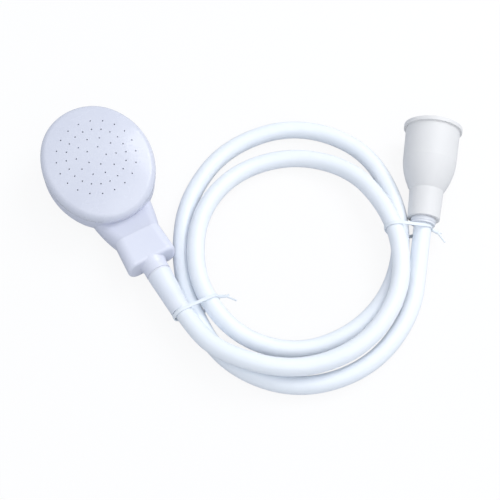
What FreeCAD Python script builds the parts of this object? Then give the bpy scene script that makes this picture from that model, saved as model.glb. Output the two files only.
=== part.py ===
import FreeCAD, Part
import math
import os

import Sketcher
from FreeCAD import Placement, Rotation, Vector

# Bath sprayer that lies on a table, spray face up: an oval head on a short flattened neck and collar,
# a white hose wound in about two and a half loose turns, and a rubber cup that pushes on to a bath tap.
# Millimetres. +Y runs along the neck from the hose to the top of the head, +Z is up, +X is across.
# The pieces of the head and neck share a frame whose origin is on the neck's axis, straight below the
# middle of the rings of spray holes. The pieces at the tap end share one whose +Y is the cup's axis.

doc = FreeCAD.newDocument("BathSprayer")

SIZES = {
    # where things stand
    "ring_place": 21.55,           # Y of the middle of the spray rings
    "axis_height": 17.0,           # height of the neck's axis above the table
    "face_height": 24.0,           # from the neck's axis up to the middle of the face
    "face_tilt": 8.5,              # degrees that the face leans towards the hose
    # spray plate: an oval cap with a domed face
    "plate_half_width": 37.2,
    "plate_half_length": 42.8,
    "plate_end_radius": 34.5,
    "plate_offset": 2.2,           # the oval's middle lies this far towards the hose
    "plate_depth": 11.0,
    "plate_wall": 2.2,
    "plate_shoulder": 5.0,
    "dome_radius": 200.0,
    "dome_reach": 60.0,
    "dome_flat": 3.0,              # radius of the flat spot in the middle of the dome
    "dome_clear": 2.0,
    "shelf_depth": 7.8,            # the plate is hollow up to here at its edge
    "well_radius": 28.5,
    "well_floor": 4.2,             # and up to here inside this circle
    "ring_step": 6.65,             # radius of the first ring, and from each ring to the next
    "hole_radius": 0.5,
    # gasket and rear shell
    "gasket_height": 0.8,
    "rim_inset": 0.4,              # the plate stands this far proud of the shell
    "shell_depth": 25.2,
    "shell_round": 17.0,
    "shell_wall": 2.4,
    "lip_height": 3.0,             # the shell's lip, inside the plate
    "lip_gap": 0.1,
    "lip_wall": 1.6,
    "neck_root_place": -22.0,
    "neck_root_width": 44.0,
    "neck_root_height": 16.0,
    "neck_root_drop": -5.0,
    "neck_waist_place": -46.5,
    "neck_waist_width": 37.0,
    "neck_waist_height": 17.0,
    "neck_waist_drop": -2.9,
    "section_round": 6.5,
    "seam_place": -56.0,
    "seam_width": 32.2,
    "seam_height": 17.6,
    "spigot_length": 6.5,
    "spigot_width": 24.5,
    "spigot_height": 12.8,
    "spigot_gap": 0.05,
    "spigot_round": 5.0,
    "channel_width": 18.0,
    "channel_height": 8.0,
    "channel_round": 3.5,
    "channel_length": 50.0,
    # collar, and the seal at the bottom of its socket
    "collar_end": -78.0,
    "collar_end_width": 34.6,
    "collar_end_height": 18.4,
    "collar_edge_round": 2.4,
    "seal_thickness": 0.9,
    "root_start": -72.0,
    "root_shoulder": -77.6,
    "root_radius": 9.1,
    "root_end": -81.5,
    "stub_radius": 8.3,
    "stub_end": -86.0,
    "seal_window_width": 17.0,
    "seal_window_height": 11.4,
    "chamber_radius": 5.7,
    "chamber_end": -66.4,
    # swivel tail
    "tail_bore": 2.5,
    "journal_radius": 4.5,
    "journal_gap": 0.05,
    "journal_end": -63.8,
    "clip_groove_near": -65.9,
    "clip_groove_far": -64.9,
    "clip_groove_radius": 3.8,
    "clip_radius": 5.4,
    "clip_gap": 0.05,
    "clip_mouth": 5.0,
    "seal_groove_radius": 3.55,
    "seal_groove_width": 1.5,
    "seal_groove_near": -80.0,
    "seal_groove_step": 6.0,
    "seal_ring_radius": 0.49,
    "flange_radius": 7.9,
    "flange_start": -86.1,
    "flange_end": -87.5,
    "barb_radius": 4.0,
    "barb_root": 3.4,
    "barb_pitch": 5.0,
    "barb_end": -107.5,
    # hose, and the cuff over its end at the head
    "hose_radius": 6.0,
    "hose_bore": 4.0,
    "cuff_end": -117.5,
    "cuff_radius": 8.2,
    "cuff_end_radius": 6.6,
    # tap end, measured along the cup's axis from the open face of the ferrule
    "tap_barb_end": -12.6,
    "ferrule_length": 3.4,
    "ferrule_step": 1.5,
    "ferrule_nose": 8.1,
    "ferrule_radius": 8.5,
    "tap_flange_end": 4.2,
    "tap_flange_radius": 7.8,
    "tap_stem": 4.4,
    "tap_head_start": 26.6,
    "tap_head_end": 28.8,
    "tap_head_radius": 7.0,
    "sleeve_radius": 10.9,
    "sleeve_end": 24.2,
    "sleeve_top_radius": 11.5,
    "belly_end": 45.5,
    "belly_radius": 18.2,
    "belly_curve": 50.0,
    "bead_root": 18.5,
    "rim_radius": 20.0,
    "bead_height": 2.6,
    "cup_end": 71.6,
    "mouth_radius": 15.6,
    "mouth_lead": 1.6,
    "socket_floor": 41.0,
    "floor_radius": 9.0,
    # ties: a flat plastic ribbon with a wire in it
    "tie_width": 2.2,
    "tie_thickness": 0.8,
    "tie_gap": 0.2,
    "tie_end_radius": 0.6,
    "twist_radius": 1.1,
    "twist_length": 5.0,
    "long_end": 9.0,
    "short_end": 3.5,
}

SPRAY_RINGS = (5, 10, 20, 20)
SEAL_RINGS = 2
HEAD_BARBS = 3
TAP_BARBS = 3
TILT = math.radians(SIZES["face_tilt"])
TAP_LIFT = 11.25                   # the rim's middle is this much higher than the ferrule's
EDGE_MARGIN = 1.0                  # edges this far from a block's two faces are its shoulders
NEAR = 0.01                        # two lengths closer than this are the same


def add_oval(name, inset):
    """Work out an oval of four arcs that lies inside the plate's outline by the inset."""
    half_width = SIZES["plate_half_width"] - inset
    end_radius = SIZES["plate_end_radius"] - inset
    reach = SIZES["plate_half_length"] - SIZES["plate_end_radius"]
    gap = half_width - end_radius
    side_radius = (half_width**2 + reach**2 - end_radius**2) / (2 * gap)
    side_centre = side_radius - half_width
    scale = side_radius / math.hypot(side_centre, reach)
    SIZES[name + "_end_radius"] = end_radius
    SIZES[name + "_side_radius"] = side_radius
    SIZES[name + "_joint_across"] = side_centre * (scale - 1)
    SIZES[name + "_joint_along"] = reach * scale


def arc_drop(radius, reach):
    """How far an arc has fallen at this distance from its top."""
    return radius - math.sqrt(radius**2 - reach**2)


def add_depth(name, depth):
    """Work out where a plane parallel to the face, this far below it, crosses the head's frame."""
    SIZES[name + "_along"] = depth * math.sin(TILT)
    SIZES[name + "_up"] = SIZES["face_height"] - depth * math.cos(TILT)


add_oval("plate", 0.0)
add_oval("bore", SIZES["plate_wall"])
add_oval("rim", SIZES["rim_inset"])
add_oval("lip", SIZES["plate_wall"] + SIZES["lip_gap"])
add_oval("cavity", SIZES["plate_wall"] + SIZES["lip_gap"] + SIZES["lip_wall"])
add_depth("ledge", SIZES["plate_depth"] + SIZES["gasket_height"])
add_depth("lip_top", SIZES["plate_depth"] + SIZES["gasket_height"] - SIZES["lip_height"])
SIZES["cavity_depth"] = SIZES["lip_height"] + SIZES["shell_depth"] - SIZES["shell_wall"]
SIZES["cavity_round"] = SIZES["shell_round"] - SIZES["shell_wall"]
SIZES["socket_width"] = SIZES["spigot_width"] + 2 * SIZES["spigot_gap"]
SIZES["socket_height"] = SIZES["spigot_height"] + 2 * SIZES["spigot_gap"]
SIZES["dome_drop"] = arc_drop(SIZES["dome_radius"], SIZES["dome_reach"])
SIZES["flat_drop"] = arc_drop(SIZES["dome_radius"], SIZES["dome_flat"])
SIZES["bore_depth"] = SIZES["plate_depth"] - SIZES["shelf_depth"]
SIZES["well_depth"] = SIZES["plate_depth"] - SIZES["well_floor"]

sheet = doc.addObject("Spreadsheet::Sheet", "Dim")
for row, (alias, number) in enumerate(SIZES.items(), start=1):
    sheet.set("A%d" % row, alias)
    sheet.set("B%d" % row, "%.5f" % number)
    sheet.setAlias("B%d" % row, alias)
doc.recompute()


def amount(text):
    """The value of a sum of sizes, such as "seam_place - spigot_length" or "seam_width/2"."""
    total = 0.0
    sign = 1
    for word in text.split():
        if word in "+-":
            sign = 1 if word == "+" else -1
        elif word != "0":
            name, _, divisor = word.partition("/")
            total += sign * SIZES[name] / float(divisor or 1)
            sign = 1
    return total


def formula(text):
    """The same sum written as an expression on the sheet."""
    return " ".join(word if word in "+-" else "Dim." + word for word in text.split())


def bind(feature, prop, text):
    feature.setExpression(prop, formula(text))


def new_body(label, placement):
    body = doc.addObject("PartDesign::Body", label)
    body.Label = label
    body.Placement = placement
    return body


def new_sketch(body, role, name, offset=None):
    """A sketch on one of the body's own origin planes, moved by sums (x, y, z) in the plane's frame."""
    sketch = body.newObject("Sketcher::SketchObject", name)
    plane = [item for item in body.Origin.OriginFeatures if item.Role == role][0]
    sketch.AttachmentSupport = (plane, [""])
    sketch.MapMode = "FlatFace"
    if offset:
        for axis, text in zip("xyz", offset):
            if text != "0":
                bind(sketch, "AttachmentOffset.Base." + axis, text)
    return sketch


def side_of(chord, radius):
    """From the middle of a chord to the centre of its arc: left of it for an outward arc, else right."""
    lift = math.sqrt(radius**2 - (chord.Length / 2)**2)
    left = Vector(-chord.y, chord.x, 0)
    left.normalize()
    return left * math.copysign(lift, radius)


def edge_between(start, end, radius):
    """A line, or an arc when a radius is given, and whether the arc runs backwards."""
    if radius is None:
        return Part.LineSegment(start, end), False
    centre = (start + end) * 0.5 + side_of(end - start, radius)
    first, last = (start, end) if radius > 0 else (end, start)
    angles = [math.atan2(point.y - centre.y, point.x - centre.x) for point in (first, last)]
    circle = Part.Circle(centre, Vector(0, 0, 1), abs(radius))
    return Part.ArcOfCircle(circle, angles[0], angles[1]), radius < 0


def draw_outline(sketch, corners):
    """A closed counterclockwise outline of (across, along) sums; a third entry is an arc's radius."""
    places = [Vector(amount(corner[0]), amount(corner[1]), 0) for corner in corners]
    ends = []
    base = sketch.GeometryCount
    for index, corner in enumerate(corners):
        radius = amount(corner[2]) if len(corner) == 3 else None
        edge, backwards = edge_between(places[index], places[(index + 1) % len(corners)], radius)
        sketch.addGeometry(edge, False)
        ends.append((2, 1) if backwards else (1, 2))
    for index in range(len(corners)):
        after = (index + 1) % len(corners)
        sketch.addConstraint(
            Sketcher.Constraint("Coincident", base + index, ends[index][1], base + after, ends[after][0]))
    for index, corner in enumerate(corners):
        for kind, text, axis in (("DistanceX", corner[0], -2), ("DistanceY", corner[1], -1)):
            if text == "0":
                sketch.addConstraint(
                    Sketcher.Constraint("PointOnObject", base + index, ends[index][0], axis))
                continue
            number = sketch.addConstraint(
                Sketcher.Constraint(kind, -1, 1, base + index, ends[index][0], amount(text)))
            sketch.setExpression("Constraints[%d]" % number, formula(text))
        if len(corner) == 3:
            text = corner[2].lstrip("- ")
            number = sketch.addConstraint(Sketcher.Constraint("Radius", base + index, amount(text)))
            sketch.setExpression("Constraints[%d]" % number, formula(text))


def draw_oval(sketch, name):
    across = name + "_joint_across"
    along = name + "_joint_along"
    end_radius = name + "_end_radius"
    side_radius = name + "_side_radius"
    draw_outline(sketch, (
        (across, along + " - plate_offset", end_radius),
        ("- " + across, along + " - plate_offset", side_radius),
        ("- " + across, "- " + along + " - plate_offset", end_radius),
        (across, "- " + along + " - plate_offset", side_radius)))


def draw_section(sketch, width, height, corner):
    """A rounded rectangle about the sketch's origin."""
    half_width = width + "/2"
    half_height = height + "/2"
    draw_outline(sketch, (
        (half_width, "- " + half_height + " + " + corner),
        (half_width, half_height + " - " + corner, corner),
        (half_width + " - " + corner, half_height),
        ("- " + half_width + " + " + corner, half_height, corner),
        ("- " + half_width, half_height + " - " + corner),
        ("- " + half_width, "- " + half_height + " + " + corner, corner),
        ("- " + half_width + " + " + corner, "- " + half_height),
        (half_width + " - " + corner, "- " + half_height, corner)))


def draw_circle(sketch, radius, along=None):
    """A circle, at the sketch's origin or this far up its vertical axis."""
    centre = Vector(0, amount(along) if along else 0, 0)
    sketch.addGeometry(Part.Circle(centre, Vector(0, 0, 1), amount(radius)), False)
    sketch.setExpression(
        "Constraints[%d]" % sketch.addConstraint(Sketcher.Constraint("Radius", 0, amount(radius))),
        formula(radius))
    if along is None:
        sketch.addConstraint(Sketcher.Constraint("Coincident", 0, 3, -1, 1))
        return
    sketch.addConstraint(Sketcher.Constraint("PointOnObject", 0, 3, -2))
    number = sketch.addConstraint(Sketcher.Constraint("DistanceY", -1, 1, 0, 3, amount(along)))
    sketch.setExpression("Constraints[%d]" % number, formula(along))


def sweep_out(body, kind, sketch, name, length=None, backwards=False):
    """A Pad or Pocket of the sketch; no length means right through."""
    feature = body.newObject("PartDesign::" + kind, name)
    feature.Profile = sketch
    if length is None:
        feature.Type = "ThroughAll"
    else:
        bind(feature, "Length", length)
    feature.Reversed = backwards
    return feature


def turn(body, kind, sketch, name):
    """A Revolution or Groove about the sketch's vertical axis."""
    feature = body.newObject("PartDesign::" + kind, name)
    feature.Profile = sketch
    feature.ReferenceAxis = (sketch, ["V_Axis"])
    feature.Angle = 360
    return feature


def round_edges(body, base, radius, wanted, name):
    """Round the edges of the newest shape that pass the test."""
    doc.recompute()
    names = ["Edge%d" % number for number, edge in enumerate(base.Shape.Edges, start=1) if wanted(edge)]
    fillet = body.newObject("PartDesign::Fillet", name)
    fillet.Base = (base, names)
    bind(fillet, "Radius", radius)
    return fillet


def turned_piece(label, placement, corners):
    """A body turned about +Y, its profile given as (radius, place along the axis)."""
    body = new_body(label, placement)
    sketch = new_sketch(body, "XY_Plane", label + "_profile")
    draw_outline(sketch, corners)
    turn(body, "Revolution", sketch, label + "_turned")
    return body


HEAD_FRAME = Placement(Vector(0, SIZES["ring_place"], SIZES["axis_height"]), Rotation())
FACE_FRAME = HEAD_FRAME * Placement(
    Vector(0, 0, SIZES["face_height"]), Rotation(Vector(1, 0, 0), SIZES["face_tilt"]))
# the tap end follows the hose's last straight run and its belly lies on the table
TAP_PLACE = Vector(172.3, -117.4, 11.0)
TAP_HEADING = 52.2                 # degrees from +X
TAP_RISE = math.degrees(math.asin(TAP_LIFT / SIZES["cup_end"]))
TAP_FRAME = Placement(TAP_PLACE, Rotation(Vector(0, 0, 1), TAP_HEADING - 90)
                      * Rotation(Vector(1, 0, 0), TAP_RISE))
CROSS_TURN = Rotation(Vector(1, 0, 0), SIZES["face_tilt"])


def make_spray_plate():
    """The domed oval cap with its 55 spray holes, open at the back."""
    body = new_body("spray_plate", FACE_FRAME)
    base = new_sketch(body, "XY_Plane", "plate_outline", ("0", "0", "- plate_depth"))
    draw_oval(base, "plate")
    sweep_out(body, "Pad", base, "plate_block", "plate_depth")
    dome = new_sketch(body, "XZ_Plane", "plate_dome_profile")
    draw_outline(dome, (
        ("0", "- flat_drop"), ("dome_flat", "- flat_drop", "- dome_radius"), ("dome_reach", "- dome_drop"),
        ("dome_reach", "dome_clear"), ("0", "dome_clear")))
    domed = turn(body, "Groove", dome, "plate_dome")
    doc.recompute()
    low = EDGE_MARGIN - amount("plate_depth")
    round_edges(
        body, domed, "plate_shoulder",
        lambda edge: edge.BoundBox.ZMin > low and edge.BoundBox.ZMax < -EDGE_MARGIN, "plate_shoulders")
    bore = new_sketch(body, "XY_Plane", "plate_bore_outline", ("0", "0", "- plate_depth"))
    draw_oval(bore, "bore")
    sweep_out(body, "Pocket", bore, "plate_bore", "bore_depth", backwards=True)
    well = new_sketch(body, "XY_Plane", "plate_well_outline", ("0", "0", "- plate_depth"))
    draw_circle(well, "well_radius")
    sweep_out(body, "Pocket", well, "plate_well", "well_depth", backwards=True)
    doc.recompute()
    for ring, count in enumerate(SPRAY_RINGS, start=1):
        name = "ring_%s" % "abcd"[ring - 1]
        sketch = new_sketch(body, "XY_Plane", name + "_hole_outline")
        draw_circle(sketch, "hole_radius", " ".join(["- ring_step"] * ring))
        hole = sweep_out(body, "Pocket", sketch, name + "_hole")
        doc.recompute()
        pattern = body.newObject("PartDesign::PolarPattern", name)
        pattern.Originals = [hole]
        pattern.Axis = ([item for item in body.Origin.OriginFeatures if item.Role == "Z_Axis"][0], [""])
        pattern.Angle = 360
        pattern.Occurrences = count
        body.Tip = pattern
        doc.recompute()
    return body


def make_plate_gasket():
    """The flat oval seal between the plate's edge and the shell's ledge."""
    body = new_body("plate_gasket", FACE_FRAME)
    sketch = new_sketch(body, "XY_Plane", "gasket_outline", ("0", "0", "- plate_depth - gasket_height"))
    draw_oval(sketch, "rim")
    sweep_out(body, "Pad", sketch, "gasket_sheet", "gasket_height")
    window = new_sketch(body, "XY_Plane", "gasket_window_outline", ("0", "0", "- plate_depth"))
    draw_oval(window, "lip")
    sweep_out(body, "Pocket", window, "gasket_window")
    return body


def tilted_sketch(body, name, plane):
    """A sketch parallel to the face at one of the planes worked out by add_depth."""
    sketch = new_sketch(body, "XY_Plane", name)
    sketch.AttachmentOffset = Placement(
        Vector(0, amount(plane + "_along"), amount(plane + "_up")), CROSS_TURN)
    bind(sketch, "AttachmentOffset.Base.y", plane + "_along")
    bind(sketch, "AttachmentOffset.Base.z", plane + "_up")
    return sketch


def cross_section(body, name, place, width, height, corner, drop="0"):
    """A rounded section square to the neck's axis."""
    sketch = new_sketch(body, "XZ_Plane", name, ("0", drop, "- " + place))
    draw_section(sketch, width, height, corner)
    return sketch


def add_bowl(body, name, plane, oval, depth, rounding):
    """An oval block that reaches down from a plane parallel to the face, with its bottom edge rounded."""
    sketch = tilted_sketch(body, name + "_outline", plane)
    draw_oval(sketch, oval)
    block = sweep_out(body, "Pad", sketch, name + "_block", depth, backwards=True)
    normal = CROSS_TURN.multVec(Vector(0, 0, 1))
    bottom = normal * Vector(0, amount(plane + "_along"), amount(plane + "_up")) - amount(depth)
    round_edges(
        body, block, rounding,
        lambda edge: all(abs(normal * point - bottom) < NEAR for point in edge.discretize(3)),
        name + "_rounding")


def make_rear_shell():
    """The bowl behind the plate with the hollow neck and the spigot that plugs into the collar."""
    body = new_body("shell_outside", HEAD_FRAME)
    add_bowl(body, "bowl", "ledge", "rim", "shell_depth", "shell_round")
    sections = [
        cross_section(body, "neck_root", "neck_root_place", "neck_root_width", "neck_root_height",
                      "section_round", "neck_root_drop"),
        cross_section(body, "neck_waist", "neck_waist_place", "neck_waist_width", "neck_waist_height",
                      "section_round", "neck_waist_drop"),
        cross_section(body, "neck_seam", "seam_place", "seam_width", "seam_height", "section_round")]
    loft = body.newObject("PartDesign::AdditiveLoft", "neck")
    loft.Profile = sections[0]
    loft.Sections = sections[1:]
    lip = tilted_sketch(body, "lip_outline", "ledge")
    draw_oval(lip, "lip")
    sweep_out(body, "Pad", lip, "lip", "lip_height")
    spigot = cross_section(body, "spigot_outline", "seam_place", "spigot_width", "spigot_height",
                           "spigot_round")
    sweep_out(body, "Pad", spigot, "spigot", "spigot_length")
    channel = cross_section(body, "channel_outline", "seam_place - spigot_length", "channel_width",
                            "channel_height", "channel_round")
    sweep_out(body, "Pocket", channel, "channel", "channel_length")
    core = new_body("shell_cavity", HEAD_FRAME)
    add_bowl(core, "cavity", "lip_top", "cavity", "cavity_depth", "cavity_round")
    shell = doc.addObject("Part::Cut", "rear_shell")
    shell.Label = "rear_shell"
    shell.Base = body
    shell.Tool = core
    return shell


def make_neck_collar():
    """The collar that carries on the neck's flattened shape and ends in a round stub."""
    body = new_body("neck_collar", HEAD_FRAME)
    start = cross_section(body, "collar_seam", "seam_place", "seam_width", "seam_height", "section_round")
    end = cross_section(body, "collar_end_outline", "collar_end", "collar_end_width",
                        "collar_end_height", "section_round")
    loft = body.newObject("PartDesign::AdditiveLoft", "collar_body")
    loft.Profile = start
    loft.Sections = [end]
    doc.recompute()
    last = amount("collar_end") + NEAR
    round_edges(body, loft, "collar_edge_round", lambda edge: edge.BoundBox.YMax < last, "collar_round")
    stub = new_sketch(body, "XY_Plane", "stub_profile")
    draw_outline(stub, (
        ("0", "stub_end"), ("stub_radius", "stub_end"), ("stub_radius", "root_end"),
        ("root_radius", "root_shoulder"), ("root_radius", "root_start"), ("0", "root_start")))
    turn(body, "Revolution", stub, "stub")
    socket = cross_section(body, "socket_outline", "seam_place", "socket_width", "socket_height",
                           "spigot_round")
    sweep_out(body, "Pocket", socket, "socket", "spigot_length + seal_thickness", backwards=True)
    bore = new_sketch(body, "XY_Plane", "collar_bore_profile")
    draw_outline(bore, (
        ("0", "stub_end"), ("journal_radius + journal_gap", "stub_end"),
        ("journal_radius + journal_gap", "chamber_end"), ("chamber_radius", "chamber_end"),
        ("chamber_radius", "seam_place"), ("0", "seam_place")))
    turn(body, "Groove", bore, "collar_bore")
    return body


def make_neck_seal():
    """The gasket at the bottom of the collar's socket."""
    body = new_body("neck_seal", HEAD_FRAME)
    sketch = cross_section(body, "seal_outline", "seam_place - spigot_length", "spigot_width",
                           "spigot_height", "spigot_round")
    sweep_out(body, "Pad", sketch, "seal_sheet", "seal_thickness")
    window = cross_section(body, "seal_window_outline", "seam_place - spigot_length",
                           "seal_window_width", "seal_window_height", "channel_round")
    sweep_out(body, "Pocket", window, "seal_window")
    return body


def barb_corners(tip, count):
    """The outside of a hose barb, from its tip towards its flange."""
    corners = [("barb_root", tip)]
    place = tip
    for _ in range(count):
        place += " + barb_pitch"
        corners += [("barb_radius", place), ("barb_root", place)]
    return corners


def make_swivel_tail():
    """The tube that turns in the collar: journal with two seal grooves, clip groove, flange and barb."""
    grooves = []
    for index in range(SEAL_RINGS):
        near = "seal_groove_near" + " + seal_groove_step" * index
        far = near + " + seal_groove_width"
        grooves += [("journal_radius", near), ("seal_groove_radius", near),
                    ("seal_groove_radius", far), ("journal_radius", far)]
    corners = [("tail_bore", "barb_end")] + barb_corners("barb_end", HEAD_BARBS) + [
        ("barb_root", "flange_end"), ("flange_radius", "flange_end"), ("flange_radius", "flange_start"),
        ("journal_radius", "flange_start")] + grooves + [
        ("journal_radius", "clip_groove_near"), ("clip_groove_radius", "clip_groove_near"),
        ("clip_groove_radius", "clip_groove_far"), ("journal_radius", "clip_groove_far"),
        ("journal_radius", "journal_end"), ("tail_bore", "journal_end")]
    return turned_piece("swivel_tail", HEAD_FRAME, corners)


def make_retaining_clip():
    """The open ring that snaps into the tail's groove and keeps it in the collar."""
    body = turned_piece("retaining_clip", HEAD_FRAME, (
        ("clip_groove_radius + clip_gap", "clip_groove_near + clip_gap"),
        ("clip_radius", "clip_groove_near + clip_gap"),
        ("clip_radius", "clip_groove_far - clip_gap"),
        ("clip_groove_radius + clip_gap", "clip_groove_far - clip_gap")))
    mouth = new_sketch(body, "XZ_Plane", "clip_mouth_outline", ("0", "0", "- clip_groove_far"))
    draw_outline(mouth, (
        ("clip_mouth/2", "0"), ("clip_mouth/2", "clip_radius + clip_gap"),
        ("- clip_mouth/2", "clip_radius + clip_gap"), ("- clip_mouth/2", "0")))
    cut = sweep_out(body, "Pocket", mouth, "clip_mouth")
    cut.Midplane = True
    return body


def make_tail_seals():
    """The two O-rings between the tail and the collar, one node of separate rings."""
    rings = []
    for index in range(SEAL_RINGS):
        place = "seal_groove_near + seal_groove_width/2" + " + seal_groove_step" * index
        ring = doc.addObject("Part::Torus", "tail_seal_ring")
        bind(ring, "Radius1", "seal_groove_radius + seal_ring_radius")
        bind(ring, "Radius2", "seal_ring_radius")
        ring.Placement = HEAD_FRAME * Placement(
            Vector(0, amount(place), 0), Rotation(Vector(1, 0, 0), 90))
        rings.append(ring)
    group = doc.addObject("Part::Compound", "tail_seals")
    group.Label = "tail_seals"
    group.Links = rings
    return group


def make_hose_cuff():
    """The tapered sleeve over the head end of the hose."""
    return turned_piece("hose_cuff", HEAD_FRAME, (
        ("hose_radius", "cuff_end"), ("cuff_end_radius", "cuff_end"),
        ("cuff_radius", "flange_end"), ("hose_radius", "flange_end")))


def make_ferrule():
    """The stepped ring that clamps the hose on to its tail at the tap end."""
    return turned_piece("tap_ferrule", TAP_FRAME, (
        ("hose_radius", "0"), ("ferrule_nose", "0"), ("ferrule_nose", "ferrule_step"),
        ("ferrule_radius", "ferrule_step"), ("ferrule_radius", "ferrule_length"),
        ("hose_radius", "ferrule_length")))


def make_tap_tail():
    """The tube that joins the hose to the rubber cup: barb, flange, stem and a head inside the cup."""
    corners = [("tail_bore", "tap_barb_end")] + barb_corners("tap_barb_end", TAP_BARBS) + [
        ("barb_root", "ferrule_length"), ("tap_flange_radius", "ferrule_length"),
        ("tap_flange_radius", "tap_flange_end"), ("tap_stem", "tap_flange_end"),
        ("tap_stem", "tap_head_start"), ("tap_head_radius", "tap_head_start"),
        ("tap_head_radius", "tap_head_end"), ("tail_bore", "tap_head_end")]
    return turned_piece("tap_tail", TAP_FRAME, corners)


def make_tap_cup():
    """The soft cup that pushes on to a tap's spout."""
    return turned_piece("tap_cup", TAP_FRAME, (
        ("tap_stem", "tap_flange_end"), ("sleeve_radius", "tap_flange_end"),
        ("sleeve_top_radius", "sleeve_end", "belly_curve"), ("belly_radius", "belly_end"),
        ("bead_root", "cup_end - bead_height"), ("rim_radius", "cup_end - bead_height"),
        ("rim_radius", "cup_end"), ("mouth_radius + mouth_lead", "cup_end"),
        ("mouth_radius", "cup_end - mouth_lead"), ("mouth_radius", "socket_floor"),
        ("floor_radius", "tap_head_start"), ("tap_stem", "tap_head_start")))


# The hose: middle of the tube, corner by corner. It leaves the cuff, joins the outside of the coil,
# and its turns are given every 30 degrees about the coil's middle, one row a turn.
TABLE = SIZES["hose_radius"] + 0.2 # height of its middle where it lies flat
COIL_MIDDLE = Vector(88, -92, 0)
COIL_START = 210
COIL_STEP = 30
COIL_RADII = (
    91.5, 89.5, 84, 77, 70, 68.5, 75, 77, 75, 70.5, 68, 70.5,
    72.5, 72, 69, 69, 71.5, 80.5, 97, 102.5, 96, 85, 77.5, 80.3,
    92.5, 98, 95, 88)
COIL_LIFTS = (
    14.6, 12.2, 11.2, 13.2, 14.6, 11.4, 3.6, 0, 0.8, 6.2, 9.4, 9.6,
    3.2, 0, 0, 0.8, 1.7, 0.9, 0, 0, 0, 0, 0.7, 1.5,
    1.0, 0, 0, 0)
CUFF_LEAD = (
    Vector(0, SIZES["ring_place"] + SIZES["flange_end"], SIZES["axis_height"]),
    Vector(0, -108, SIZES["axis_height"] + 0.5))
TAP_STRAIGHT = 24.0                # the hose is straight for this long before the ferrule
ARC_SHARE = 0.45                   # the part of a run that the arc at each of its ends may take
TIES = {
    # middle of each tie, the heading of the strands there, the side where its ends are twisted,
    # and the way the twist leans
    "left_tie": (Vector(8, -98, 11), -90, Vector(1, 0, 0), Vector(0.25, -0.9, 0.1)),
    "right_tie": (Vector(160, -116, 11), 68, Vector(1, 0, 0), Vector(-0.4, -0.8, 0)),
}
CLOSE_BY = 24.0                    # a tie gathers the strands within this distance of its middle
SEARCH_STEP = 0.5                  # the hose is searched for those strands in steps of this length
OUTWARD = 1.3                      # how far a tie's twist stands off from the hose, as a slope
END_SPREAD = 0.5                   # how far its two cut ends lean apart, as a slope


def hose_corners():
    """Every corner of the hose's route, from the cuff to the ferrule."""
    corners = list(CUFF_LEAD)
    for turn_number, (radius, lift) in enumerate(zip(COIL_RADII, COIL_LIFTS)):
        angle = math.radians(COIL_START + turn_number * COIL_STEP)
        corners.append(COIL_MIDDLE + Vector(
            radius * math.cos(angle), radius * math.sin(angle), TABLE + lift))
    for place in (-TAP_STRAIGHT, SIZES["ferrule_length"]):
        corners.append(TAP_FRAME.multVec(Vector(0, place, 0)))
    return corners


def rounded_route(corners):
    """Straight runs joined by tangent arcs, each as large as its two runs allow."""
    edges = []
    radii = []
    last = corners[0]
    for before, corner, after in zip(corners, corners[1:], corners[2:]):
        back = (before - corner).normalize()
        ahead = (after - corner).normalize()
        half_turn = (math.pi - back.getAngle(ahead)) / 2
        reach = ARC_SHARE * min((before - corner).Length, (after - corner).Length)
        radius = reach / math.tan(half_turn)
        middle = (back + ahead).normalize() * (radius / math.cos(half_turn) - radius)
        start = corner + back * reach
        end = corner + ahead * reach
        edges.append(Part.LineSegment(last, start).toShape())
        edges.append(Part.Arc(start, corner + middle, end).toShape())
        radii.append(radius)
        last = end
    edges.append(Part.LineSegment(last, corners[-1]).toShape())
    return Part.Wire(edges), radii


def swept(path, radius):
    """A round solid along a path."""
    start = path.OrderedEdges[0]
    place = start.valueAt(start.FirstParameter)
    heading = start.tangentAt(start.FirstParameter)
    ring = Part.Wire([Part.Circle(place, heading, radius).toShape()])
    return path.makePipeShell([ring], True, False)


def make_hose():
    """The hollow hose, whole, along its real route."""
    path, radii = rounded_route(hose_corners())
    outside = swept(path, SIZES["hose_radius"])
    inside = swept(path, SIZES["hose_bore"])
    hose = doc.addObject("Part::Feature", "hose")
    hose.Label = "hose"
    hose.Shape = outside.cut(inside)
    section = math.pi * (SIZES["hose_radius"]**2 - SIZES["hose_bore"]**2)
    print("hose: length %.0f mm, smallest bend %.0f mm" % (path.Length, min(radii)))
    print("hose: bend radii", [round(radius) for radius in radii])
    print("hose: volume over section x length %.4f" % (hose.Shape.Volume / (section * path.Length)))
    return hose, path


def strands_at(path, middle, normal):
    """Where the hose crosses a plane, near a point of it, in order round that plane."""
    crossings = []
    places = path.discretize(Distance=SEARCH_STEP)
    for before, after in zip(places, places[1:]):
        from_side = (before - middle) * normal
        to_side = (after - middle) * normal
        if from_side * to_side <= 0 and (before - middle).Length < CLOSE_BY:
            crossings.append(before + (after - before) * (from_side / (from_side - to_side)))
    centre = sum(crossings, Vector()) * (1 / len(crossings))
    across = normal.cross(Vector(0, 0, 1))

    def bearing(place):
        return math.atan2((place - centre) * across, (place - centre).z)
    return sorted(crossings, key=bearing), centre


def loop_round(strands, normal, radius):
    """A closed wire stretched round circles of one radius about the strands."""
    count = len(strands)
    outward = []
    for index in range(count):
        along = (strands[(index + 1) % count] - strands[index]).normalize()
        outward.append(along.cross(normal).normalize() * radius)
    edges = []
    for index in range(count):
        here = strands[index]
        after = strands[(index + 1) % count]
        middle = (outward[index - 1] + outward[index]).normalize() * radius
        edges.append(Part.Arc(here + outward[index - 1], here + middle, here + outward[index]).toShape())
        edges.append(Part.LineSegment(here + outward[index], after + outward[index]).toShape())
    return Part.Wire(edges)


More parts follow.
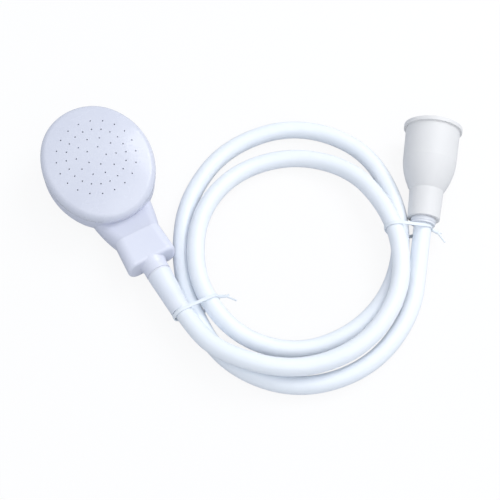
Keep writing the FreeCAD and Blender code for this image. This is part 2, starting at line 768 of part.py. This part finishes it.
def make_tie(label, path, middle, heading, farthest, lean):
    """A tie round the strands at a place: its ribbon, a short twist and two cut ends."""
    normal = Vector(math.cos(math.radians(heading)), math.sin(math.radians(heading)), 0)
    strands, centre = strands_at(path, middle, normal)
    inner = SIZES["hose_radius"] + SIZES["tie_gap"]
    outer = inner + SIZES["tie_thickness"]
    blocks = []
    for radius in (outer, inner):
        face = Part.Face(loop_round(strands, normal, radius))
        face.translate(normal * (-SIZES["tie_width"] / 2))
        blocks.append(face.extrude(normal * SIZES["tie_width"]))
    piece = blocks[0].cut(blocks[1])
    strand = max(strands, key=lambda place: (place - centre) * farthest)
    out = (strand - centre).normalize()
    base = strand + out * (outer - SIZES["tie_thickness"] / 2)
    along = (out * OUTWARD + lean).normalize()
    piece = piece.fuse(Part.makeCylinder(SIZES["twist_radius"], SIZES["twist_length"], base, along))
    across = along.cross(Vector(0, 0, 1)).normalize()
    for side, length in ((1, "long_end"), (-1, "short_end")):
        spread = (along + across * side * END_SPREAD).normalize()
        start = base + along * SIZES["twist_length"] - spread * SIZES["twist_radius"]
        piece = piece.fuse(Part.makeCylinder(SIZES["tie_end_radius"], SIZES[length], start, spread))
    tie = doc.addObject("Part::Feature", label)
    tie.Label = label
    tie.Shape = piece
    return tie


def build_all():
    """Make every sub-part and return them in order."""
    pieces = [
        make_spray_plate(), make_plate_gasket(), make_rear_shell(), make_neck_collar(), make_neck_seal(),
        make_swivel_tail(), make_retaining_clip(), make_tail_seals(), make_hose_cuff(),
        make_ferrule(), make_tap_tail(), make_tap_cup()]
    hose, path = make_hose()
    pieces.append(hose)
    for label, (middle, heading, farthest, lean) in TIES.items():
        pieces.append(make_tie(label, path, middle, heading, farthest, lean))
    return pieces


def check_document(pieces):
    """Stop when any object failed, or any sub-part's shape isn't sound."""
    doc.recompute()
    for item in doc.Objects:
        if "Invalid" in item.State or "Error" in item.State:
            raise RuntimeError("%s is %s" % (item.Label, item.State))
    for piece in pieces:
        if piece.Shape.isNull() or not piece.Shape.isValid() or not piece.Shape.Solids:
            raise RuntimeError("%s has no sound solid" % piece.Label)


parts = build_all()
check_document(parts)
os.makedirs("parts", exist_ok=True)
for part in parts:
    part.Shape.exportStep("parts/%s.step" % part.Label)
    box = part.Shape.optimalBoundingBox()
    print("%-16s %d solid(s) %9.1f mm3  X %.1f %.1f  Y %.1f %.1f  Z %.2f %.2f" % (
        part.Label, len(part.Shape.Solids), part.Shape.Volume,
        box.XMin, box.XMax, box.YMin, box.YMax, box.ZMin, box.ZMax))
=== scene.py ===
import math

import bpy
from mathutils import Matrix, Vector


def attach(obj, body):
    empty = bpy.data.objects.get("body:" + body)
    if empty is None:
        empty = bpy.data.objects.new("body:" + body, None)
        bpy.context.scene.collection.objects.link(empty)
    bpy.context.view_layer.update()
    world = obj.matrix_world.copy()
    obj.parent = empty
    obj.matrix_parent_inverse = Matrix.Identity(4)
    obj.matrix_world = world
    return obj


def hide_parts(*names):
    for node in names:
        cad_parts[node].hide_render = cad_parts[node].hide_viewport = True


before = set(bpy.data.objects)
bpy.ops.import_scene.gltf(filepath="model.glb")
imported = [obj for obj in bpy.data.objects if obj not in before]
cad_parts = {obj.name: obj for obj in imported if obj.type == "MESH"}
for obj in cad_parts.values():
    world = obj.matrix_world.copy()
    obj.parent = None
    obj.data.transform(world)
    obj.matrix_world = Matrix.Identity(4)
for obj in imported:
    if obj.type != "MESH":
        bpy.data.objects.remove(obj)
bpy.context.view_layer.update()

# A white bath sprayer lies spray face up beside its coiled hose, on a pale table in soft studio light.
# Metres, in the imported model's frame: +Y from the hose to the top of the head, +Z up.

MM = 0.001

# ---------------------------------------------------------------- materials

NOISE_RANGE = (0.35, 0.65)         # the part of a noise's range that is spread over a look
FINE_ROUGHNESS = 0.6               # how busy a fine noise is
CLOUD_SCALE = 28                   # features per metre of the slow change of tone
WEAR_SCALE = 90                    # of the uneven gloss
WAVE_SCALE = 45                    # of the waves that moulding leaves
WAVE_DEPTH = 12                    # depth of those waves, in depths of the mould grain
PLASTIC_IOR = 1.5
COAT_ROUGHNESS = 0.18
SCATTER = 0.0015                   # how far light spreads under the surface, in metres


def new_material(name):
    """A material with its node tree and its shader."""
    material = bpy.data.materials.new(name)
    material.use_nodes = True
    tree = material.node_tree
    return material, tree, tree.nodes["Principled BSDF"]


def noise_node(tree, scale, detail, roughness=0.5):
    """Noise in the object's own coordinates; scale is in features per metre."""
    place = tree.nodes.new("ShaderNodeTexCoord")
    noise = tree.nodes.new("ShaderNodeTexNoise")
    noise.inputs["Scale"].default_value = scale
    noise.inputs["Detail"].default_value = detail
    noise.inputs["Roughness"].default_value = roughness
    tree.links.new(place.outputs["Object"], noise.inputs["Vector"])
    return noise.outputs["Fac"]


def spread(tree, value, low, high):
    """Map a noise value's middle range on to low and high."""
    node = tree.nodes.new("ShaderNodeMapRange")
    node.inputs["From Min"].default_value = NOISE_RANGE[0]
    node.inputs["From Max"].default_value = NOISE_RANGE[1]
    node.inputs["To Min"].default_value = low
    node.inputs["To Max"].default_value = high
    tree.links.new(value, node.inputs["Value"])
    return node.outputs["Result"]


def mixed(tree, factor, first, second):
    """A colour between two, by a factor from 0 to 1."""
    node = tree.nodes.new("ShaderNodeMix")
    node.data_type = "RGBA"
    node.inputs["A"].default_value = (*first, 1)
    node.inputs["B"].default_value = (*second, 1)
    tree.links.new(factor, node.inputs["Factor"])
    return node.outputs["Result"]


def bumped(tree, shader, heights):
    """A chain of bumps, each a (height, distance in metres) pair."""
    normal = None
    for height, distance in heights:
        bump = tree.nodes.new("ShaderNodeBump")
        bump.inputs["Strength"].default_value = 1.0
        bump.inputs["Distance"].default_value = distance
        tree.links.new(height, bump.inputs["Height"])
        if normal:
            tree.links.new(normal, bump.inputs["Normal"])
        normal = bump.outputs["Normal"]
    tree.links.new(normal, shader.inputs["Normal"])


def moulded(name, colour, shade, gloss, grain, depth, soft=0.0, coat=0.0):
    """A moulded plastic or rubber: cloudy tone, uneven gloss, fine mould grain and slow waves.

    The tone drifts from colour to shade, and the roughness from one gloss value to the other. The
    mould grain has so many features per metre, and depth is its depth in metres.
    """
    material, tree, shader = new_material(name)
    cloud = noise_node(tree, CLOUD_SCALE, 4)
    tree.links.new(mixed(tree, spread(tree, cloud, 0, 1), colour, shade), shader.inputs["Base Color"])
    wear = noise_node(tree, WEAR_SCALE, 5, FINE_ROUGHNESS)
    tree.links.new(spread(tree, wear, *gloss), shader.inputs["Roughness"])
    bumped(tree, shader, (
        (noise_node(tree, WAVE_SCALE, 2), WAVE_DEPTH * depth),
        (noise_node(tree, grain, 2, FINE_ROUGHNESS), depth)))
    shader.inputs["Subsurface Weight"].default_value = soft
    shader.inputs["Subsurface Radius"].default_value = (1.0, 1.0, 1.0)
    shader.inputs["Subsurface Scale"].default_value = SCATTER
    shader.inputs["Coat Weight"].default_value = coat
    shader.inputs["Coat Roughness"].default_value = COAT_ROUGHNESS
    shader.inputs["IOR"].default_value = PLASTIC_IOR
    return material


HEAD_WHITE = moulded("head_white", (0.69, 0.71, 0.79), (0.665, 0.685, 0.77), (0.20, 0.30),
                     2600, 4e-6, soft=0.10, coat=0.35)
SHELL_WHITE = moulded("shell_white", (0.71, 0.73, 0.83), (0.685, 0.705, 0.81), (0.28, 0.40),
                      2600, 5e-6, soft=0.10, coat=0.2)
COLLAR_WHITE = moulded("collar_white", (0.76, 0.78, 0.87), (0.73, 0.75, 0.85), (0.28, 0.40),
                       2600, 5e-6, soft=0.10, coat=0.2)
HOSE_WHITE = moulded("hose_white", (0.89, 0.93, 0.985), (0.865, 0.91, 0.975), (0.32, 0.44),
                     1500, 7e-6, soft=0.35, coat=0.12)
CUFF_WHITE = moulded("cuff_white", (0.83, 0.865, 0.93), (0.80, 0.84, 0.915), (0.34, 0.46),
                     1800, 7e-6, soft=0.2, coat=0.1)
CUP_WHITE = moulded("cup_white", (0.79, 0.785, 0.775), (0.765, 0.76, 0.75), (0.42, 0.56),
                    1900, 1.1e-5, soft=0.1)
FERRULE_WHITE = moulded("ferrule_white", (0.80, 0.82, 0.86), (0.77, 0.79, 0.83), (0.30, 0.42),
                        2400, 5e-6, soft=0.05, coat=0.15)
TIE_WHITE = moulded("tie_white", (0.84, 0.89, 0.93), (0.79, 0.84, 0.88), (0.40, 0.55),
                    2200, 1.5e-5, soft=0.05)
TAIL_WHITE = moulded("tail_white", (0.78, 0.80, 0.86), (0.75, 0.77, 0.83), (0.35, 0.45),
                     2400, 6e-6, soft=0.05)
GASKET_WHITE = moulded("gasket_white", (0.62, 0.64, 0.70), (0.58, 0.60, 0.66), (0.50, 0.62),
                       2000, 1.0e-5, soft=0.2)
SEAL_BLACK = moulded("seal_black", (0.018, 0.018, 0.018), (0.026, 0.026, 0.026), (0.50, 0.65),
                     2000, 1.2e-5)


def dress(node, material):
    """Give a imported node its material."""
    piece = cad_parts[node]
    piece.data.materials.clear()
    piece.data.materials.append(material)


for node, material in (
        ("spray_plate", HEAD_WHITE), ("rear_shell", SHELL_WHITE), ("neck_collar", COLLAR_WHITE),
        ("plate_gasket", GASKET_WHITE), ("neck_seal", SEAL_BLACK), ("tail_seals", SEAL_BLACK),
        ("swivel_tail", TAIL_WHITE), ("retaining_clip", TAIL_WHITE), ("tap_tail", TAIL_WHITE),
        ("hose_cuff", CUFF_WHITE), ("tap_ferrule", FERRULE_WHITE), ("tap_cup", CUP_WHITE),
        ("left_tie", TIE_WHITE), ("right_tie", TIE_WHITE)):
    dress(node, material)

# ---------------------------------------------------------------- the hose

# The middle of the hose, corner by corner, in millimetres: the lead out of the cuff, the turns with
# a corner every 30 degrees about the coil's middle, and the straight end in the ferrule. Each full
# row is one turn. A lift is the height above a hose that lies on the table.
HOSE_RADIUS = 6.0
LYING_HEIGHT = HOSE_RADIUS + 0.2
CUFF_LEAD = (Vector((0, -65.95, 17)), Vector((0, -108, 17.5)))
COIL_MIDDLE = Vector((88, -92, 0))
COIL_START = 210
COIL_STEP = 30
COIL_RADII = (
    91.5, 89.5, 84, 77, 70, 68.5, 75, 77, 75, 70.5, 68, 70.5,
    72.5, 72, 69, 69, 71.5, 80.5, 97, 102.5, 96, 85, 77.5, 80.3,
    92.5, 98, 95, 88)
COIL_LIFTS = (
    14.6, 12.2, 11.2, 13.2, 14.6, 11.4, 3.6, 0, 0.8, 6.2, 9.4, 9.6,
    3.2, 0, 0, 0.8, 1.7, 0.9, 0, 0, 0, 0, 0.7, 1.5,
    1.0, 0, 0, 0)
TAP_PLACE = Vector((172.3, -117.4, 11.0))
TAP_HEADING = math.radians(52.2)   # from +X
CUP_LENGTH = 71.6
TAP_LIFT = 11.25                   # the rim's middle is this much higher than the ferrule's
TAP_RISE = math.asin(TAP_LIFT / CUP_LENGTH)
TAP_DIRECTION = Vector((
    math.cos(TAP_RISE) * math.cos(TAP_HEADING), math.cos(TAP_RISE) * math.sin(TAP_HEADING),
    math.sin(TAP_RISE)))
TAP_STRAIGHT = 24.0
FERRULE_LENGTH = 3.4


def hose_corners():
    """The route's corners in metres."""
    corners = list(CUFF_LEAD)
    for number, (radius, lift) in enumerate(zip(COIL_RADII, COIL_LIFTS)):
        angle = math.radians(COIL_START + number * COIL_STEP)
        corners.append(COIL_MIDDLE + Vector(
            (radius * math.cos(angle), radius * math.sin(angle), LYING_HEIGHT + lift)))
    for place in (-TAP_STRAIGHT, FERRULE_LENGTH):
        corners.append(TAP_PLACE + TAP_DIRECTION * place)
    return [corner * MM for corner in corners]


def smooth_tube(name, points, radius, material):
    """A round tube along a smooth NURBS line."""
    curve = bpy.data.curves.new(name, "CURVE")
    curve.dimensions = "3D"
    spline = curve.splines.new("NURBS")
    spline.points.add(len(points) - 1)
    for point, place in zip(spline.points, points):
        point.co = (*place, 1)
    spline.order_u = 3
    spline.use_endpoint_u = True
    spline.resolution_u = 12
    curve.bevel_depth = radius
    curve.bevel_resolution = 8
    curve.materials.append(material)
    tube = bpy.data.objects.new(name, curve)
    bpy.context.collection.objects.link(tube)
    return tube


hose_points = hose_corners()
hose = smooth_tube("vinyl_hose", hose_points, HOSE_RADIUS * MM, HOSE_WHITE)
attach(hose, "hose_line")
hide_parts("hose")

# ---------------------------------------------------------------- table, light and camera

AIM = Vector((0.0646, -0.0718, 0))
HEADING = math.radians(29.5)       # the camera looks this far to the right of +Y
ELEVATION = math.radians(63)
DISTANCE = 0.863
LENS = 92                          # millimetres, like the sensor's width
SENSOR_WIDTH = 36
TABLE_SIZE = 12
PAGE_SHARE = 0.85                  # how much of the table's look is plain white; the rest takes shadows
PAGE_GLOW = 1.05
SKY_COLOUR = (0.86, 0.91, 1.0)
SKY_STRENGTH = 0.68


def make_table():
    """A wide pale table top. It reads as a white page, but gives the object little light from below."""
    bpy.ops.mesh.primitive_plane_add(size=TABLE_SIZE, location=(AIM.x, AIM.y, 0))
    table = bpy.context.object
    table.name = "table_top"
    material, tree, shader = new_material("table_white")
    tone = spread(tree, noise_node(tree, 3, 3), 0, 1)
    tree.links.new(mixed(tree, tone, (0.62, 0.63, 0.65), (0.60, 0.61, 0.63)), shader.inputs["Base Color"])
    shader.inputs["Roughness"].default_value = 0.9
    page = tree.nodes.new("ShaderNodeEmission")
    page.inputs["Color"].default_value = (1, 1, 1, 1)
    page.inputs["Strength"].default_value = PAGE_GLOW
    seen = tree.nodes.new("ShaderNodeLightPath")
    share = tree.nodes.new("ShaderNodeMath")
    share.operation = "MULTIPLY"
    share.inputs[1].default_value = PAGE_SHARE
    blend = tree.nodes.new("ShaderNodeMixShader")
    tree.links.new(seen.outputs["Is Camera Ray"], share.inputs[0])
    tree.links.new(share.outputs["Value"], blend.inputs["Fac"])
    tree.links.new(shader.outputs["BSDF"], blend.inputs[1])
    tree.links.new(page.outputs["Emission"], blend.inputs[2])
    tree.links.new(blend.outputs["Shader"], tree.nodes["Material Output"].inputs["Surface"])
    table.data.materials.append(material)


def area_light(name, direction, distance, size, power, colour=(1, 1, 1)):
    """A soft square lamp that shines on the middle of the scene from a direction."""
    data = bpy.data.lights.new(name, "AREA")
    data.size = size
    data.energy = power
    data.color = colour
    lamp = bpy.data.objects.new(name, data)
    towards = Vector(direction).normalized()
    lamp.location = AIM + towards * distance
    lamp.rotation_mode = "QUATERNION"
    lamp.rotation_quaternion = towards.to_track_quat("Z", "Y")
    bpy.context.collection.objects.link(lamp)


def make_world():
    """An even, slightly blue light from all round."""
    world = bpy.data.worlds.new("studio")
    bpy.context.scene.world = world
    world.use_nodes = True
    sky = world.node_tree.nodes["Background"]
    sky.inputs["Color"].default_value = (*SKY_COLOUR, 1)
    sky.inputs["Strength"].default_value = SKY_STRENGTH


def make_camera():
    """A camera that looks down on the middle of the scene."""
    data = bpy.data.cameras.new("camera")
    data.lens = LENS
    data.sensor_width = SENSOR_WIDTH
    camera = bpy.data.objects.new("camera", data)
    back = Vector((
        -math.sin(HEADING) * math.cos(ELEVATION), -math.cos(HEADING) * math.cos(ELEVATION),
        math.sin(ELEVATION)))
    camera.location = AIM + back * DISTANCE
    camera.rotation_mode = "QUATERNION"
    camera.rotation_quaternion = back.to_track_quat("Z", "Y")
    bpy.context.collection.objects.link(camera)
    bpy.context.scene.camera = camera


make_table()
make_world()
area_light("key", direction=(1.0, 0.15, 1.25), distance=1.5, size=0.9, power=9)
area_light("fill", direction=(0.1, -0.8, 1.5), distance=1.8, size=1.6, power=9, colour=(1.0, 0.99, 0.99))
make_camera()
bpy.context.scene.view_settings.view_transform = "Standard"
